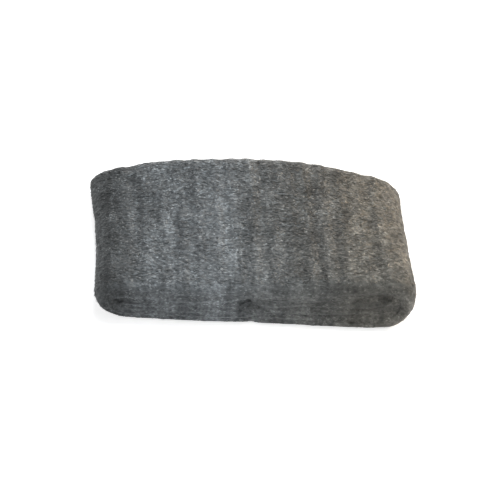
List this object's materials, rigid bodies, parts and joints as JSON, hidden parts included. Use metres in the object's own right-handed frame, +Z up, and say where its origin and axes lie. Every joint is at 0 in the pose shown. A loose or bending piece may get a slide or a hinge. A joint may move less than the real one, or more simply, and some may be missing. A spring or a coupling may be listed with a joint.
{
  "type": "steel wool pad",
  "caption": "Small flat hand pad of steel wool, one ribbon of fine fibres wound flat on itself, for scouring, rubbing down and polishing.",
  "frame": {"origin": "on the surface that the pad rests on, under the middle of the pad's box", "axes": "+X along the pad, the way its fibres run, +Y across it from its front face to its back face, +Z up"},
  "size_m": [0.1023, 0.0602, 0.022],
  "materials": {
    "steel_wool": "dull grey mat of fine crimped steel fibres that run along the pad"
  },
  "bodies": {
    "root": {"wool_pad": "steel_wool"}
  },
  "joints": []
}
